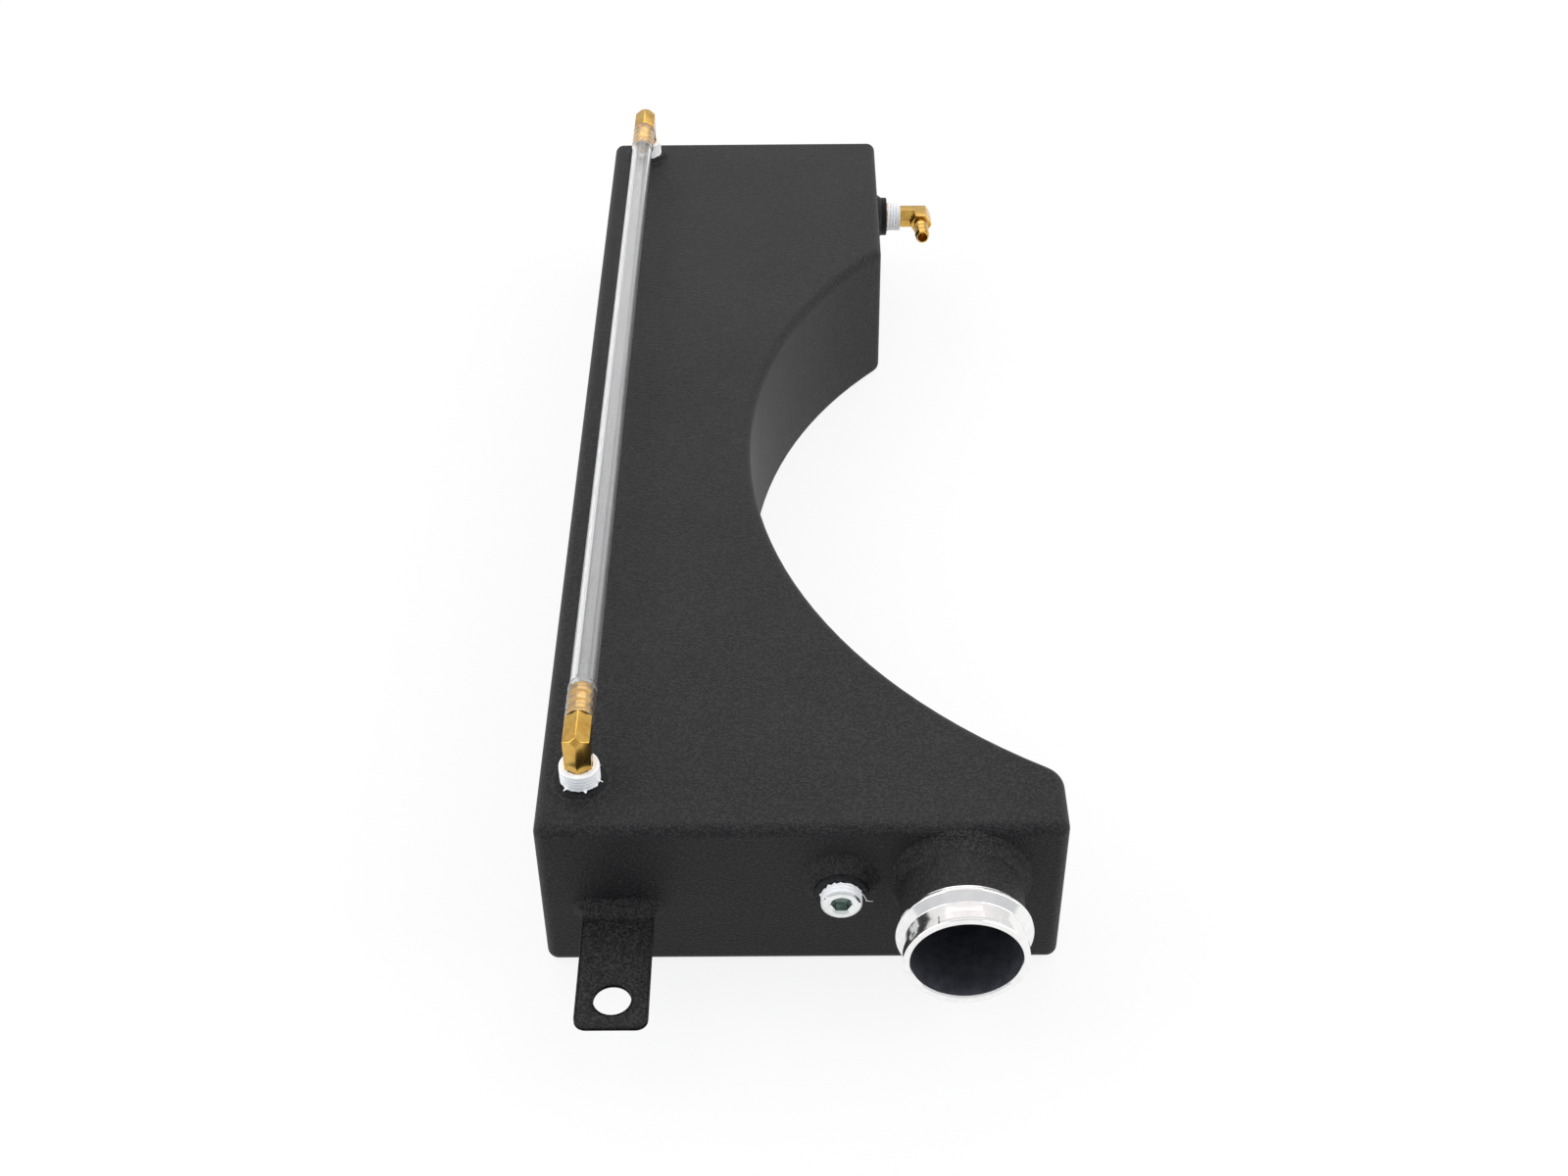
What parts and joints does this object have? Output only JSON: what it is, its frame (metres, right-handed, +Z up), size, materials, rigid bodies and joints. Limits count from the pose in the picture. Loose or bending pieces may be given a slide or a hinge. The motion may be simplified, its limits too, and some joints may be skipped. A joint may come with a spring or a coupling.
{
  "type": "coolant expansion tank",
  "caption": "Long flat welded aluminium coolant expansion tank, powder-coated black, with an arc cut-out in one side, a bare filler neck, a hose barb, a mounting tab and a clear sight tube.",
  "frame": {"origin": "on the floor, under the middle of the whole box round the tank, its tab and its fittings", "axes": "+Z up out of the top panel with the sight tube, +Y from the filler neck end to the narrow end, +X towards the side with the arc cut-out"},
  "size_m": [0.1826, 0.523, 0.0932],
  "materials": {
    "black_coat": "fine-textured satin black powder coat",
    "bare_aluminium": "machined, with fine turning marks",
    "brass": "bar brass, lightly polished",
    "thread_tape": "thin white sealing tape, wound by hand",
    "plug_steel": "dull plated steel",
    "clear_tube": "clear flexible plastic tube"
  },
  "bodies": {
    "root": {"folded_shell": "black_coat", "left_wall": "black_coat", "side_strip": "black_coat", "back_plate": "black_coat", "left_seam": "black_coat", "side_seam": "black_coat", "back_seam": "black_coat", "filler_neck": "bare_aluminium", "neck_weld": "black_coat", "mount_tab": "black_coat", "tab_weld": "black_coat", "lower_bung": "black_coat", "upper_bung": "black_coat", "side_bung": "black_coat", "plug_bung": "black_coat", "bung_welds": "black_coat", "lower_bushing": "brass", "upper_bushing": "brass", "side_bushing": "brass", "lower_tape": "thread_tape", "upper_tape": "thread_tape", "side_tape": "thread_tape", "plug_tape": "thread_tape", "drain_plug": "plug_steel", "lower_elbow": "brass", "upper_elbow": "brass", "side_elbow": "brass", "sight_tube": "clear_tube"}
  },
  "joints": []
}
